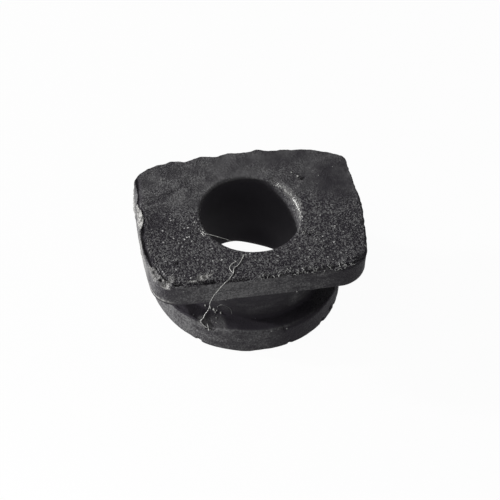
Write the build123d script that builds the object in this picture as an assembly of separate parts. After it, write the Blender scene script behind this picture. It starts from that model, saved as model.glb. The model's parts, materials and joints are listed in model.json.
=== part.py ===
from build123d import *

import math
import os

# A moulded rubber bushing, made in one piece: a D-shaped flange on top, a
# plain round neck, a round collar as its foot and a bore right through.
# Millimetres, +Z up. The origin is on the bore's axis at the collar's foot.
# The flange's straight edge faces -Y and its arched edge faces +Y.

# Neck, which stands in the panel's cut-out
NECK_DIAMETER = 24.0
NECK_HEIGHT = 6.7  # open gap between collar and flange
NECK_FILLET = 0.6  # at both ends of the neck

# Bore
BORE_DIAMETER = 15.5
BORE_MOUTH_ROUND = 0.5  # the hole's edge on top of the flange

# Collar, the foot that holds the bushing below its panel
COLLAR_LIP = 3.0  # beyond the neck, all the way round
COLLAR_HEIGHT = 4.4
COLLAR_EDGE_ROUND = 0.3

# Flange, the head, and how far its edges stand out beyond the neck
FLANGE_SIDE_LIP = 5.35
FLANGE_FRONT_LIP = 1.4
FLANGE_BACK_LIP = 1.1
FLANGE_THICKNESS = 3.9
FLANGE_EDGE_ROUND = 0.3
FRONT_CORNER_RADIUS = 4.6
SIDE_BOW_RADIUS = 76.0
SIDE_LEAN_DEG = 3.0  # both sides lean towards +X on their way back
BACK_ARCH_RADIUS = 90.0
SHOULDER_WIDTH = 5.85  # each end of the arched edge that turns down
SHOULDER_DROP = 3.6  # crown of the arch down to the shoulder's outer end
SHOULDER_CORNER_RADIUS = 1.0

NECK_RADIUS = NECK_DIAMETER / 2
COLLAR_RADIUS = NECK_RADIUS + COLLAR_LIP
FLANGE_HALF_WIDTH = NECK_RADIUS + FLANGE_SIDE_LIP  # through the bore's axis
FRONT_Y = -(NECK_RADIUS + FLANGE_FRONT_LIP)
BACK_Y = NECK_RADIUS + FLANGE_BACK_LIP  # at the crown of the arch
FLANGE_UNDERSIDE = COLLAR_HEIGHT + NECK_HEIGHT
FLANGE_TOP = FLANGE_UNDERSIDE + FLANGE_THICKNESS
STAND_ON_BASE = (Align.CENTER, Align.CENTER, Align.MIN)
SAME_PLACE = 1e-4  # edges and corners this close are the ones looked for


def side_point(y, hand):
    """Point on a bowed side at a given y; hand is 1 on the +X side and -1 on the other."""
    lean = math.radians(SIDE_LEAN_DEG)
    middle_x = hand * (FLANGE_HALF_WIDTH - SIDE_BOW_RADIUS * math.cos(lean))
    middle_y = hand * SIDE_BOW_RADIUS * math.sin(lean)
    reach = math.sqrt(SIDE_BOW_RADIUS**2 - (y - middle_y) ** 2)
    return (middle_x + hand * reach, y)


def flange_outline():
    """The D-shaped plan: straight front, bowed sides, arched back with round shoulders."""
    half_arch = FLANGE_HALF_WIDTH - SHOULDER_WIDTH
    arch_turn = math.asin(half_arch / BACK_ARCH_RADIUS)
    arch_end_y = BACK_Y - BACK_ARCH_RADIUS * (1 - math.cos(arch_turn))
    shoulder_y = BACK_Y - SHOULDER_DROP

    edges = [
        Line(side_point(FRONT_Y, -1), side_point(FRONT_Y, 1)),
        ThreePointArc((-half_arch, arch_end_y), (0, BACK_Y), (half_arch, arch_end_y)),
    ]
    for hand in (1, -1):
        shoulder_end = side_point(shoulder_y, hand)
        arch_end = (hand * half_arch, arch_end_y)
        arch_heading = (hand * math.cos(arch_turn), -math.sin(arch_turn))
        edges.append(
            ThreePointArc(side_point(FRONT_Y, hand), side_point(0, hand), shoulder_end)
        )
        edges.append(TangentArc(arch_end, shoulder_end, tangent=arch_heading))

    outline = make_face(edges)
    front_corners = outline.vertices().group_by(Axis.Y)[0]
    outline = fillet(front_corners, FRONT_CORNER_RADIUS)
    shoulder_corners = [v for v in outline.vertices() if abs(v.Y - shoulder_y) < SAME_PLACE]
    return fillet(shoulder_corners, SHOULDER_CORNER_RADIUS)


def make_flange():
    """The head plate, with its top and bottom rims rounded."""
    plate = extrude(Pos(0, 0, FLANGE_UNDERSIDE) * flange_outline(), FLANGE_THICKNESS)
    rims = plate.edges().filter_by(Plane.XY)
    return fillet(rims, FLANGE_EDGE_ROUND)


def make_collar():
    """The round foot, with its top and bottom rims rounded."""
    disc = Cylinder(COLLAR_RADIUS, COLLAR_HEIGHT, align=STAND_ON_BASE)
    return fillet(disc.edges().filter_by(GeomType.CIRCLE), COLLAR_EDGE_ROUND)


def circles(solid, radius, height):
    """The solid's level circular edges of one radius at one height."""
    return [
        edge
        for edge in solid.edges().filter_by(GeomType.CIRCLE).filter_by(Plane.XY)
        if abs(edge.radius - radius) < SAME_PLACE
        and abs(edge.center().Z - height) < SAME_PLACE
    ]


def make_bushing():
    """The whole moulding as one solid."""
    neck = Cylinder(NECK_RADIUS, NECK_HEIGHT, align=STAND_ON_BASE)
    neck = Pos(0, 0, COLLAR_HEIGHT) * neck
    body = make_collar() + neck + make_flange()
    neck_ends = circles(body, NECK_RADIUS, COLLAR_HEIGHT)
    neck_ends += circles(body, NECK_RADIUS, FLANGE_UNDERSIDE)
    body = fillet(neck_ends, NECK_FILLET)

    body -= Cylinder(BORE_DIAMETER / 2, FLANGE_TOP, align=STAND_ON_BASE)
    mouth = circles(body, BORE_DIAMETER / 2, FLANGE_TOP)
    return fillet(mouth, BORE_MOUTH_ROUND)


os.makedirs("parts", exist_ok=True)
export_step(make_bushing(), "parts/bushing.step")
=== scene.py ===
"""A worn, moulded rubber bushing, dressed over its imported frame.

The bushing is one moulding: a D-shaped head, a round neck, a round collar and a bore.
Sizes are millimetres until a mesh is made. The origin is on the bore's axis at the
collar's foot, +Z is up and the head's straight edge faces -Y.
"""

import itertools
import json
import logging
import math
from dataclasses import dataclass, field
from enum import Enum

import bpy
import numpy as np
from mathutils import Matrix, Vector


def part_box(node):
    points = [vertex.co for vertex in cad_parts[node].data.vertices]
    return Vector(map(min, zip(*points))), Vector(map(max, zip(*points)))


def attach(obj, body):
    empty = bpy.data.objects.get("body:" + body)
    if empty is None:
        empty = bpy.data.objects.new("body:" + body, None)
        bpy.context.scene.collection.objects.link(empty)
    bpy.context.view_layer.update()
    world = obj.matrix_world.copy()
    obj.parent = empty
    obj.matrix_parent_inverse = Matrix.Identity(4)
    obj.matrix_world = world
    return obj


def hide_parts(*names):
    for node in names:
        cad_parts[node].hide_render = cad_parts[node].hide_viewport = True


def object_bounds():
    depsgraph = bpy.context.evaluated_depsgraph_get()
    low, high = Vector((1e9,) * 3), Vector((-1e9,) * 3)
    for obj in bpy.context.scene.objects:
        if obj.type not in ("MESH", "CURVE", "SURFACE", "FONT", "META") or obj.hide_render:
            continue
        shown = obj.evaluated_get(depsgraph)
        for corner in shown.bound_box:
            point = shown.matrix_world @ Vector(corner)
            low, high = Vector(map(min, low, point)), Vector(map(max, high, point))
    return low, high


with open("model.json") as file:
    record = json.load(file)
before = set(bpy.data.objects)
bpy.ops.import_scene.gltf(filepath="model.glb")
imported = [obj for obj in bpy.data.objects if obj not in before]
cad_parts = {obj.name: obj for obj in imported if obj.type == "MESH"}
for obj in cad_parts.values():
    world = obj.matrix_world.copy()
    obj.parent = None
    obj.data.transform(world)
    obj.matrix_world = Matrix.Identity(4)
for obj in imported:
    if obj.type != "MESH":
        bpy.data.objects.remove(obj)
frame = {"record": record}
CAD_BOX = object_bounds()

LOG = logging.getLogger("bushing")
MM = 0.001
NODE = "bushing"
BODY = "root"


# ---------------------------------------------------------------- noise and small maths


class FieldNoise:
    """Seeded gradient noise in space, worked out for many points at once."""

    CELLS = 256

    def __init__(self, seed: int) -> None:
        """Draws the lattice.

        Args:
            seed: Names the pattern; the same seed always gives the same one.
        """
        draw = np.random.default_rng(seed)
        slopes = draw.normal(size=(self.CELLS, 3))
        self.slopes = slopes / np.linalg.norm(slopes, axis=1, keepdims=True)
        self.order = draw.permutation(self.CELLS)
        self.shift = draw.uniform(0, self.CELLS, 3)

    def at(self, points: np.ndarray, lump: float) -> np.ndarray:
        """One layer of noise.

        Args:
            points: Places, with x, y and z on the last axis.
            lump: How far apart the lumps are, in the points' own unit.

        Returns:
            A value from about -1 to 1 for each point.
        """
        scaled = points / lump + self.shift
        cell = np.floor(scaled).astype(np.int64)
        part = scaled - cell
        fade = part**3 * (part * (part * 6 - 15) + 10)
        total = np.zeros(points.shape[:-1])
        for corner in itertools.product((0, 1), repeat=3):
            index = (cell + corner) % self.CELLS
            spot = self.order[index[..., 0]]
            for axis in (1, 2):
                spot = self.order[(spot + index[..., axis]) % self.CELLS]
            pull = ((part - corner) * self.slopes[spot]).sum(axis=-1)
            share = np.where(np.array(corner) == 1, fade, 1 - fade).prod(axis=-1)
            total += pull * share
        return total * 1.6

    def layered(self, points: np.ndarray, lump: float, layers: int = 3) -> np.ndarray:
        """Several layers of noise, each half as large and half as strong as the last.

        Args:
            points: Places, with x, y and z on the last axis.
            lump: Distance between the largest lumps.
            layers: How many layers are added up.

        Returns:
            A value from about -1 to 1 for each point.
        """
        total = np.zeros(points.shape[:-1])
        for layer in range(layers):
            total += self.at(points, lump / 2**layer) / 2**layer
        return total / 1.5


def smooth_step(value: np.ndarray, low: float, high: float) -> np.ndarray:
    """Rises smoothly from 0 at low to 1 at high."""
    part = np.clip((value - low) / (high - low), 0, 1)
    return part * part * (3 - 2 * part)


def bell(value: np.ndarray, middle: float, reach: float) -> np.ndarray:
    """1 at the middle, falling off evenly to both sides, to about a third at its reach."""
    return np.exp(-(((value - middle) / reach) ** 2))


def around(points: np.ndarray) -> np.ndarray:
    """Each point's angle round the bore's axis, in degrees from -180 to 180."""
    return np.degrees(np.arctan2(points[..., 1], points[..., 0]))


def from_axis(points: np.ndarray) -> np.ndarray:
    """Each point's distance from the bore's axis."""
    return np.linalg.norm(points[..., :2], axis=-1)


def unit(vectors: np.ndarray) -> np.ndarray:
    """The vectors at length one."""
    length = np.linalg.norm(vectors, axis=-1, keepdims=True)
    return vectors / np.maximum(length, 1e-12)


def heading(vector: np.ndarray) -> float:
    """The angle of a vector in the plan, from 0 to a full turn."""
    return math.atan2(vector[1], vector[0]) % (2 * math.pi)


def arc_points(middle: np.ndarray, radius: float, start: float, end: float) -> np.ndarray:
    """Points along an arc in the plan.

    Args:
        middle: The arc's centre.
        radius: Its radius.
        start: Angle of the first point, in radians.
        end: Angle of the last point, in radians.

    Returns:
        One row of x and y for each point.
    """
    turn = np.linspace(start, end, 120)[:, None]
    return middle + radius * np.concatenate([np.cos(turn), np.sin(turn)], axis=1)


def even_loop(points: np.ndarray, count: int) -> np.ndarray:
    """Spreads a closed loop's points evenly along it.

    Args:
        points: The loop's points in order, in the plan.
        count: How many points to give back.

    Returns:
        Points the same distance apart, the first where the loop began.
    """
    closed = np.concatenate([points, points[:1]])
    along = np.concatenate([[0], np.cumsum(np.linalg.norm(np.diff(closed, axis=0), axis=1))])
    places = np.arange(count) * along[-1] / count
    return np.stack([np.interp(places, along, closed[:, axis]) for axis in (0, 1)], axis=1)


def outward_of(loop: np.ndarray) -> np.ndarray:
    """Directions that lead out of a closed, counter-clockwise loop in the plan, one for each point."""
    ahead = np.roll(loop, -1, axis=0) - np.roll(loop, 1, axis=0)
    return unit(np.stack([ahead[:, 1], -ahead[:, 0]], axis=1))


def soften_loop(values: np.ndarray, reach: float) -> np.ndarray:
    """Blurs values round a closed loop.

    Args:
        values: What is blurred; its first axis runs round the loop.
        reach: How far the blur reaches, in steps along that axis.

    Returns:
        The blurred values.
    """
    steps = np.arange(-int(3 * reach), int(3 * reach) + 1)
    weights = np.exp(-((steps / reach) ** 2) / 2)
    weights /= weights.sum()
    return sum(weight * np.roll(values, step, axis=0) for step, weight in zip(steps, weights))


# ---------------------------------------------------------------- the moulding's form


@dataclass(frozen=True)
class Bulge:
    """A stretch of the head's outline that stands out, or dips where its push is below 0."""

    middle: tuple[float, float]
    reach: float
    push: float

    def weight(self, outline: np.ndarray) -> np.ndarray:
        """How much of the bulge each point of the outline takes."""
        return bell(np.linalg.norm(outline - np.array(self.middle), axis=1), 0.0, self.reach)


@dataclass(frozen=True)
class HeadOutline:
    """The head's D-shaped plan: straight front, bowed sides, arched back."""

    half_width: float = 17.35
    front_y: float = -13.4
    back_y: float = 13.32
    left_corner: float = 4.0
    right_corner: float = 5.0
    side_bow: float = 76.0
    side_lean: float = math.radians(3.0)
    back_arch: float = 90.0
    shoulder_width: float = 5.85
    shoulder_drop: float = 3.6
    corner_wear: float = 0.4
    bulges: tuple[Bulge, ...] = (
        # Left shoulder and side, right shoulder and side
        Bulge((-16.3, 10.1), 2.0, 0.34),
        Bulge((-17.3, 6.2), 2.6, 0.2),
        Bulge((17.2, 9.8), 1.6, 0.22),
        Bulge((17.8, -0.5), 4.0, 0.22),
    )
    scallops: tuple[Bulge, ...] = (  # along the back edge, on top
        Bulge((-10.2, 12.9), 1.3, 0.15),
        Bulge((-7.8, 13.1), 0.9, -0.36),
        Bulge((-5.1, 13.2), 0.8, 0.16),
        Bulge((-2.9, 13.3), 0.8, -0.42),
        Bulge((3.8, 13.3), 0.9, 0.3),
        Bulge((6.6, 13.1), 1.0, -0.14),
        Bulge((13.9, 11.9), 1.4, -0.24),
    )

    def side_middle(self, hand: int) -> np.ndarray:
        """Centre of the arc that one side follows; hand is 1 at +X and -1 at -X."""
        reach = self.half_width - self.side_bow * math.cos(self.side_lean)
        return hand * np.array([reach, self.side_bow * math.sin(self.side_lean)])

    def corner_middle(self, hand: int, radius: float) -> np.ndarray:
        """Centre of a front corner's round, which touches the front and the side.

        Args:
            hand: 1 for the corner at +X, -1 for the one at -X.
            radius: The round's radius.

        Returns:
            The centre in the plan.
        """
        middle = self.side_middle(hand)
        y = self.front_y + radius
        reach = math.sqrt((self.side_bow - radius) ** 2 - (y - middle[1]) ** 2)
        return np.array([middle[0] + hand * reach, y])

    def shoulder(self, hand: int) -> np.ndarray:
        """Points of one shoulder, from the arch's end round to the side.

        Args:
            hand: 1 for the shoulder at +X, -1 for the one at -X.

        Returns:
            One row of x and y for each point.
        """
        half_arch = self.half_width - self.shoulder_width
        turn = math.asin(half_arch / self.back_arch)
        crown_drop = self.back_arch * (1 - math.cos(turn))
        start = np.array([hand * half_arch, self.back_y - crown_drop])
        middle = self.side_middle(hand)
        y = self.back_y - self.shoulder_drop
        reach = math.sqrt(self.side_bow**2 - (y - middle[1]) ** 2)
        chord = np.array([middle[0] + hand * reach, y]) - start
        inward = np.array([-hand * math.sin(turn), -math.cos(turn)])
        radius = chord @ chord / (2 * chord @ inward)
        centre = start + inward * radius
        return arc_points(centre, radius, heading(-inward), heading(start + chord - centre))

    def path(self) -> np.ndarray:
        """Dense points once round, counter-clockwise from the front edge's right end.

        Returns:
            One row of x and y for each point.
        """
        half_arch = self.half_width - self.shoulder_width
        turn = math.asin(half_arch / self.back_arch)
        right_shoulder = self.shoulder(1)[::-1]
        left_shoulder = self.shoulder(-1)
        side, far_side = self.side_middle(1), self.side_middle(-1)
        corner = self.corner_middle(1, self.right_corner)
        far_corner = self.corner_middle(-1, self.left_corner)
        meets = heading(corner - side) - 2 * math.pi
        far_meets = heading(far_corner - far_side)
        back_middle = np.array([0, self.back_y - self.back_arch])
        return np.concatenate([
            arc_points(corner, self.right_corner, -math.pi / 2, meets),
            arc_points(side, self.side_bow, meets, heading(right_shoulder[0] - side)),
            right_shoulder,
            arc_points(back_middle, self.back_arch, math.pi / 2 - turn, math.pi / 2 + turn),
            left_shoulder,
            arc_points(far_side, self.side_bow, heading(left_shoulder[-1] - far_side), far_meets),
            arc_points(far_corner, self.left_corner, far_meets, 1.5 * math.pi),
        ])

    def stations(self, count: int) -> np.ndarray:
        """Points evenly spread round the outline, with its corners worn a little soft.

        Args:
            count: How many points there are.

        Returns:
            One row of x and y for each point.
        """
        loop = even_loop(self.path(), count)
        step = np.linalg.norm(loop[1] - loop[0])
        loop = soften_loop(loop, self.corner_wear / step)
        return self.pushed(loop, self.bulges)

    def pushed(self, loop: np.ndarray, bulges: tuple[Bulge, ...]) -> np.ndarray:
        """Moves the outline out where it bulges and in where it dips."""
        push = sum(bulge.push * bulge.weight(loop) for bulge in bulges)
        return loop + push[:, None] * outward_of(loop)


class Zone(Enum):
    """The faces of the moulding, in the order that its section runs through them."""

    BORE = 0
    MOUTH = 1
    TOP = 2
    RIM = 3
    SIDE = 4
    UNDERSIDE = 5
    NECK = 6
    LEDGE = 7
    COLLAR = 8
    FOOT = 9


def on(zone: np.ndarray, *faces: Zone) -> np.ndarray:
    """Whether each point, given by its zone number, lies on one of some faces."""
    return np.isin(zone, [face.value for face in faces])


@dataclass
class Stroke:
    """A run of rings along the section, each a blend of a circle and the head's outline."""

    zone: Zone  # the face that they belong to
    share: np.ndarray  # 0 on the circle, 1 on the outline
    radius: np.ndarray  # of the circle
    inset: np.ndarray  # distance inside the outline
    height: np.ndarray  # above the foot


def stroke(zone: Zone, share: float | np.ndarray, radius: float | np.ndarray,
           inset: float | np.ndarray, height: float | np.ndarray) -> Stroke:
    """Makes a stroke from values that may be the same all along it."""
    return Stroke(zone, *np.broadcast_arrays(share, radius, inset, height))


def quarter(count: int) -> tuple[np.ndarray, np.ndarray]:
    """Distances of places inside a round from the face that it leaves, and from the one it joins."""
    turn = np.linspace(0, math.pi / 2, count + 2)[1:-1]
    return 1 - np.cos(turn), 1 - np.sin(turn)


@dataclass
class Section:
    """The moulding's section, as rings from the bore's foot round to the foot's inside."""

    bore: float
    collar: float
    top: float
    neck: float = 12.0
    ledge: float = 4.4
    underside: float = 11.1
    mouth_round: float = 0.45
    rim_round: float = 0.24
    lower_rim_round: float = 0.3
    neck_fillet: float = 0.6
    collar_round: float = 0.35
    foot_round: float = 0.25
    scallop_depth: float = 2.6  # how far down the head's wall the scallops reach
    rim_band: float = 1.5  # width of the finer rings along the head's top edge
    bore_start: float = 0.25  # height of the bore's lowest ring
    bore_ease: float = 0.2  # how far the foot's innermost ring stands off the bore

    def strokes(self) -> list[Stroke]:
        """All runs of rings in order.

        Returns:
            The runs, from the bore's foot round to the foot's inside.
        """
        top_leaving, top_joining = quarter(5)
        leaving, joining = quarter(4)
        bore = np.linspace(self.bore_start, self.top - self.mouth_round, 17)
        mouth = self.bore + self.mouth_round
        top_share = np.linspace(0, 1, 34)[:-1]
        band = np.linspace(self.rim_band, self.rim_round, 12)
        side = np.linspace(self.top - self.rim_round, self.underside + self.lower_rim_round, 19)
        fillet = self.neck_fillet
        neck = np.linspace(self.underside - fillet, self.ledge + fillet, 13)
        towards_rim = 1 - np.linspace(1, 0, 9) ** 2
        ledge = self.neck + fillet + towards_rim * (self.collar - self.collar_round - self.neck - fillet)
        wall = np.linspace(self.ledge - self.collar_round, self.foot_round, 15)
        foot = np.linspace(self.collar - self.foot_round, self.bore + self.bore_ease, 5)
        return [
            stroke(Zone.BORE, 0, self.bore, 0, bore),
            stroke(Zone.MOUTH, 0, self.bore + self.mouth_round * top_leaving, 0,
                   self.top - self.mouth_round * top_joining),
            stroke(Zone.TOP, top_share, mouth, self.rim_band, self.top),
            stroke(Zone.TOP, 1, 0, band, self.top),
            stroke(Zone.RIM, 1, 0, self.rim_round * top_joining,
                   self.top - self.rim_round * top_leaving),
            stroke(Zone.SIDE, 1, 0, 0, side),
            stroke(Zone.SIDE, 1, 0, self.lower_rim_round * leaving,
                   self.underside + self.lower_rim_round * joining),
            stroke(Zone.UNDERSIDE, np.linspace(1, 0, 9), self.neck + fillet,
                   self.lower_rim_round, self.underside),
            stroke(Zone.NECK, 0, self.neck + fillet * joining, 0, self.underside - fillet * leaving),
            stroke(Zone.NECK, 0, self.neck, 0, neck),
            stroke(Zone.NECK, 0, self.neck + fillet * leaving, 0, self.ledge + fillet * joining),
            stroke(Zone.LEDGE, 0, ledge, 0, self.ledge),
            stroke(Zone.COLLAR, 0, self.collar - self.collar_round * joining, 0,
                   self.ledge - self.collar_round * leaving),
            stroke(Zone.COLLAR, 0, self.collar, 0, wall),
            stroke(Zone.COLLAR, 0, self.collar - self.foot_round * leaving, 0,
                   self.foot_round * joining),
            stroke(Zone.FOOT, 0, foot, 0, 0),
        ]

    def rings(self, outline: np.ndarray, top_outline: np.ndarray) -> tuple[np.ndarray, np.ndarray]:
        """Sweeps the section round.

        Args:
            outline: The head's outline, evenly spaced, counter-clockwise.
            top_outline: The outline that it has at its top edge.

        Returns:
            Points as rings by stations by x, y, z, and the zone number of each ring.
        """
        outward = outward_of(outline)
        round_way = unit(outline)
        rings, zones = [], []
        for run in self.strokes():
            for share, radius, inset, height in zip(run.share, run.radius, run.inset, run.height):
                rise = smooth_step(height, self.top - self.scallop_depth, self.top - 0.3)
                edge = outline + rise * (top_outline - outline)
                flat = (1 - share) * radius * round_way + share * (edge - inset * outward)
                rings.append(np.concatenate([flat, np.full((len(flat), 1), height)], axis=1))
                zones.append(run.zone.value)
        return np.stack(rings), np.array(zones)


def ring_normals(points: np.ndarray) -> np.ndarray:
    """Outward normals of a grid of rings that closes on itself both ways.

    Args:
        points: Rings by stations by x, y, z.

    Returns:
        A direction of length one for each point.
    """
    along = np.roll(points, -1, axis=1) - np.roll(points, 1, axis=1)
    across = np.roll(points, -1, axis=0) - np.roll(points, 1, axis=0)
    return unit(np.cross(across, along))


def ring_faces(rings: int, stations: int) -> np.ndarray:
    """Corner numbers of the quads between neighbouring rings, outward side out.

    Args:
        rings: How many rings there are.
        stations: How many points each ring has.

    Returns:
        One row of four corner numbers for each quad.
    """
    ring, station = np.meshgrid(np.arange(rings), np.arange(stations), indexing="ij")
    next_ring = (ring + 1) % rings
    next_station = (station + 1) % stations
    corners = [ring * stations + station, next_ring * stations + station,
               next_ring * stations + next_station, ring * stations + next_station]
    return np.stack(corners, axis=-1).reshape(-1, 4)


# ---------------------------------------------------------------- wear and damage


@dataclass(frozen=True)
class Scar:
    """A place where the rubber is pitted, torn or worn away."""

    middle: tuple[float, float, float]
    size: tuple[float, float, float]  # half-lengths: along its turn, across it, and upright
    push: tuple[float, float, float] = (0.0, 0.0, 0.0)
    turn: float = 0.0  # degrees in the plan
    torn_and_highlight: float = 0.0  # how far it shows raw, pale rubber
    crispness: float = 0.3  # 0 for a soft dent, towards 1 for a sharp brink
    ragged: float = 0.25
    dust_and_painted_light: float = 0.0  # dust that has settled there, or less than 0 where it is rubbed clean; in the corner's hollow it is painted shade, on the collar's broken wedge painted light

    def weight(self, points: np.ndarray, noise: FieldNoise) -> np.ndarray:
        """How much of the scar each point takes.

        Args:
            points: Places on the moulding.
            noise: Makes the scar's brink uneven.

        Returns:
            0 outside the scar, rising to 1 inside it.
        """
        away = points - np.array(self.middle)
        near = (np.abs(away) < 1.6 * max(self.size)).all(axis=-1)
        weights = np.zeros(points.shape[:-1])
        if not near.any():
            return weights
        turn = math.radians(self.turn)
        local = away[near]
        along = local[:, 0] * math.cos(turn) + local[:, 1] * math.sin(turn)
        across = local[:, 1] * math.cos(turn) - local[:, 0] * math.sin(turn)
        reach = np.sqrt((along / self.size[0]) ** 2 + (across / self.size[1]) ** 2
                        + (local[:, 2] / self.size[2]) ** 2)
        reach += self.ragged * noise.layered(points[near], 0.8, 2)
        weights[near] = 1 - smooth_step(reach, self.crispness, 1.0)
        return weights


def on_circle(radius: float, angle: float, height: float) -> tuple[float, float, float]:
    """A place on a round wall; the angle is in degrees."""
    turn = math.radians(angle)
    return (radius * math.cos(turn), radius * math.sin(turn), height)


def collar_scar(angle: float, height: float, length: float, depth: float, drop: float = 0.0,
                **kind: float) -> Scar:
    """A scar on the collar's wall.

    Args:
        angle: Where it is round the collar, in degrees.
        height: Height above the foot.
        length: Its half-length round the collar.
        depth: How far it is pushed in.
        drop: How far it is pushed down.
        kind: Any of the scar's other values.

    Returns:
        The scar.
    """
    inward = on_circle(-depth, angle, -drop)
    return Scar(on_circle(15.0, angle, height), (length, 0.9, 0.9), inward, angle + 90, **kind)


@dataclass(frozen=True)
class Facet:
    """A slice broken off an edge, which leaves a rough, nearly flat face."""

    middle: tuple[float, float, float]  # on the edge that has gone
    facing: tuple[float, float, float]  # where the new face looks
    length: float  # half its length along the edge
    depth: float  # from the old edge down to the new face
    turn: float  # the edge's direction in the plan, in degrees
    torn_and_highlight: float = 1.0  # how far it shows raw, pale rubber

    def apply(self, worn: np.ndarray, torn_and_highlight: np.ndarray, noise: FieldNoise) -> None:
        """Slices the edge off.

        Args:
            worn: Points of the moulding, changed in place.
            torn_and_highlight: How raw each point is, changed in place.
            noise: Makes the break uneven.
        """
        away = worn - np.array(self.middle)
        near = (np.abs(away) < 1.4 * self.length + 1.0).all(axis=-1)
        local, place = away[near], worn[near]
        turn = math.radians(self.turn)
        along = local[:, 0] * math.cos(turn) + local[:, 1] * math.sin(turn)
        along += 0.25 * noise.at(place, 0.8)
        depth = self.depth * np.sqrt(np.clip(1 - (along / self.length) ** 2, 0, 1))
        depth *= 1 + 0.35 * noise.layered(place, 1.1, 3)
        facing = unit(np.array(self.facing))
        over = np.where(depth > 0, local @ facing + depth, 0.0)
        cut = over > 0
        worn[near] = np.where(cut[:, None], place - over[:, None] * facing, place)
        torn_and_highlight[near] = np.where(cut, np.maximum(torn_and_highlight[near], self.torn_and_highlight), torn_and_highlight[near])


@dataclass(frozen=True)
class Crease:
    """A narrow line pressed into the head's top face, or standing up from it; where its dust is below 0 it
    is painted dark as shade.
    """

    places: tuple[tuple[float, float], ...]  # along its middle, in the plan
    depth: float  # less than 0 for a ridge
    width: float
    dust_and_painted_light: float = 0.0  # dust in it, or less than 0 where the crease is painted dark as shade

    def weight(self, points: np.ndarray, noise: FieldNoise, top: float) -> np.ndarray:
        """How much of the crease each point takes.

        Args:
            points: Places on the moulding.
            noise: Makes the crease uneven.
            top: Height of the top face.

        Returns:
            0 away from the crease, rising to 1 along its middle.
        """
        route = np.array(self.places)
        low, high = route.min(axis=0) - 1.0, route.max(axis=0) + 1.0
        plan = points[..., :2]
        near = ((plan > low) & (plan < high)).all(axis=-1) & (points[..., 2] > top - 0.5)
        weights = np.zeros(points.shape[:-1])
        spots = plan[near] + 0.17 * noise.layered(points[near], 0.9, 2)[:, None]
        gap = np.full(len(spots), 9.0)
        for start, end in zip(route, route[1:]):
            span = end - start
            share = np.clip(((spots - start) @ span) / (span @ span), 0, 1)
            gap = np.minimum(gap, np.linalg.norm(spots - start - share[:, None] * span, axis=1))
        patchy = np.clip(0.85 + 0.6 * noise.at(points[near], 1.6), 0.2, 1.2)
        weights[near] = bell(gap, 0.0, self.width) * patchy
        return weights


FACETS = (
    # Left side: a bite torn out of the top edge
    Facet((-17.3, 2.2, 15.0), (-1.0, 0.0, 0.55), 2.8, 0.72, 87),
    Facet((-17.25, 1.7, 15.0), (-0.7, 0.0, 1.0), 1.3, 0.62, 87),
    # Front left corner: frayed slopes where the edge has gone
    Facet((-17.2, -9.5, 15.0), (-0.31, -0.16, 0.94), 1.8, 0.46, -74, 0.55),
    Facet((-16.1, -12.3, 15.0), (-0.25, -0.25, 0.94), 0.9, 0.34, -40, 0.35),
    Facet((-15.1, -11.9, 15.0), (-0.25, -0.25, 0.94), 0.6, 0.22, -34, 0.75),
    # Back edge: shallow bites
    Facet((-7.9, 13.0, 15.0), (0.0, 1.0, 0.5), 1.2, 0.2, -4, 0.1),
    Facet((-3.0, 13.0, 15.0), (0.0, 1.0, 0.5), 0.9, 0.2, 0, 0.1),
    Facet((1.9, 13.4, 15.0), (0.0, 1.0, 0.5), 1.2, 0.16, 0, 0.1),
    Facet((12.9, 12.3, 15.0), (0.3, 1.0, 0.5), 1.0, 0.16, -20, 0.1),
    # Right side
    Facet((17.6, -5.4, 15.0), (1.0, 0.0, 0.4), 0.9, 0.24, 85, 0.2),
    Facet((17.7, 3.0, 15.0), (1.0, 0.0, 0.4), 1.2, 0.18, 88, 0.1),
    Facet((17.5, 8.2, 15.0), (1.0, 0.0, 0.4), 0.9, 0.22, 95, 0.2),
)

CREASES = (
    # The last number is the crease's dust; below 0 it paints the crease dark as shade.
    # Along the front edge, to the left and to the right
    Crease(((-13.9, -12.5), (-12.0, -12.8), (-10.2, -12.85), (-8.2, -12.8)), 0.5, 0.26, -0.55),
    Crease(((-8.2, -12.8), (-5.6, -13.0), (-3.0, -13.1)), 0.34, 0.22, -0.15),
    Crease(((-0.5, -13.1), (3.0, -13.0), (5.6, -13.05), (7.4, -12.8), (9.6, -12.7), (11.6, -12.45)),
           0.34, 0.24, -0.2),
    Crease(((12.4, -12.5), (13.6, -12.2), (14.9, -11.5), (16.1, -10.6)), 0.4, 0.2, -0.4),
    # Behind the bite, and on along the left edge
    Crease(((-16.9, 4.9), (-16.45, 3.2), (-16.3, 1.9), (-16.6, 0.4), (-16.9, -0.2)), 0.3, 0.18, -0.9),
    Crease(((-16.8, -0.2), (-17.05, -2.5), (-17.05, -5.6), (-16.85, -8.2)), 0.42, 0.22, -1.2),
    Crease(((-16.0, 9.6), (-16.3, 8.0), (-16.5, 6.4), (-16.75, 4.9)), 0.35, 0.34, -1.0),
    # Behind the frayed corner
    Crease(((-16.5, -8.2), (-15.9, -9.8), (-15.3, -11.2), (-14.4, -11.5)), 0.34, 0.18, -0.7),
    # Left side: a faint line across the top face, its dark band a painted shadow line
    Crease(((-14.9, 4.3), (-13.0, 4.9), (-10.7, 6.4), (-8.4, 7.8)), 0.08, 0.3, -0.42),
    # Right corner: a short fold
    Crease(((12.9, -11.6), (14.2, -11.4), (15.6, -10.6)), 0.16, 0.25),
)

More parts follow.
